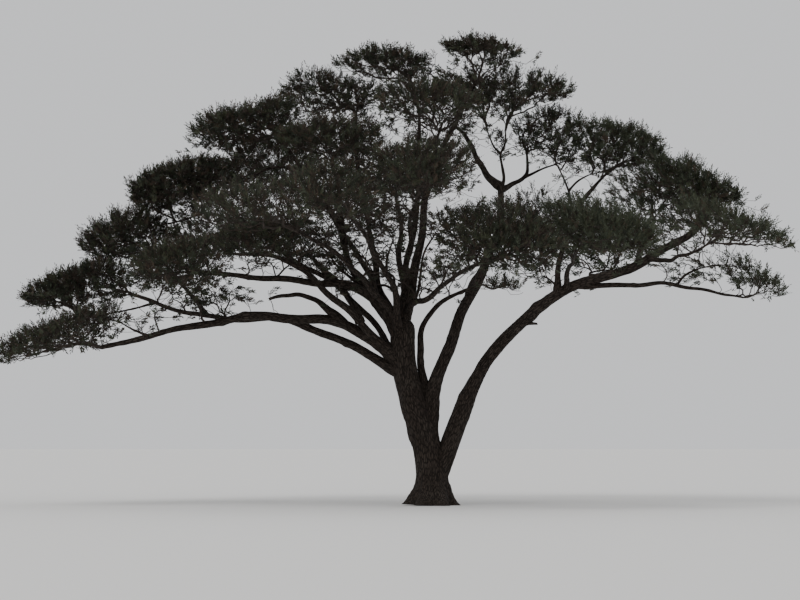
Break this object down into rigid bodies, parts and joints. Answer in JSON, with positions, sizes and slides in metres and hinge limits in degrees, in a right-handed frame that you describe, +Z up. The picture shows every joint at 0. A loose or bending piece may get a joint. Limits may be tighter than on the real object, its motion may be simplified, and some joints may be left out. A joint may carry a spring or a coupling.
{
  "type": "acacia tree",
  "caption": "Old umbrella thorn with a short leaning trunk, low forking stems, long arching boughs and a wide domed crown of flat leafy pads",
  "frame": {"origin": "the middle of the flat cut under the trunk, at ground level", "axes": "+Z is up, +X points right across the widest reach of the crown, +Y points away from the viewer of the picture"},
  "size_m": [21.7265, 17.2449, 13.0096],
  "materials": {
    "bark": "raw",
    "leaves": "matte"
  },
  "bodies": {
    "root": {"trunk": "bark", "bough_back_centre": "bark", "bough_back_left": "bark", "bough_back_mid": "bark", "bough_back_right": "bark", "bough_front_centre": "bark", "bough_front_left": "bark", "bough_front_mid": "bark", "bough_front_right": "bark", "bough_heart": "bark", "bough_leader": "bark", "bough_leader_left": "bark", "bough_left_crest": "bark", "bough_left_high": "bark", "bough_left_level": "bark", "bough_left_low": "bark", "bough_left_rise": "bark", "bough_left_riser": "bark", "bough_left_shoulder": "bark", "bough_left_steep": "bark", "bough_left_sweep": "bark", "bough_mid_right": "bark", "bough_mid_stem": "bark", "bough_mid_top": "bark", "bough_right_far": "bark", "bough_right_inner": "bark", "bough_right_low": "bark", "bough_right_mid": "bark", "bough_right_stem": "bark", "bough_right_up": "bark", "bough_slip": "bark", "foliage_back_centre": "leaves", "foliage_back_left": "leaves", "foliage_back_mid": "leaves", "foliage_back_right": "leaves", "foliage_front_centre": "leaves", "foliage_front_left": "leaves", "foliage_front_mid": "leaves", "foliage_front_right": "leaves", "foliage_heart": "leaves", "foliage_leader": "leaves", "foliage_leader_left": "leaves", "foliage_left_crest": "leaves", "foliage_left_high": "leaves", "foliage_left_level": "leaves", "foliage_left_low": "leaves", "foliage_left_rise": "leaves", "foliage_left_riser": "leaves", "foliage_left_shoulder": "leaves", "foliage_left_steep": "leaves", "foliage_left_sweep": "leaves", "foliage_mid_right": "leaves", "foliage_mid_top": "leaves", "foliage_right_far": "leaves", "foliage_right_inner": "leaves", "foliage_right_low": "leaves", "foliage_right_mid": "leaves", "foliage_right_stem": "leaves", "foliage_right_up": "leaves", "foliage_slip": "leaves"}
  },
  "joints": []
}
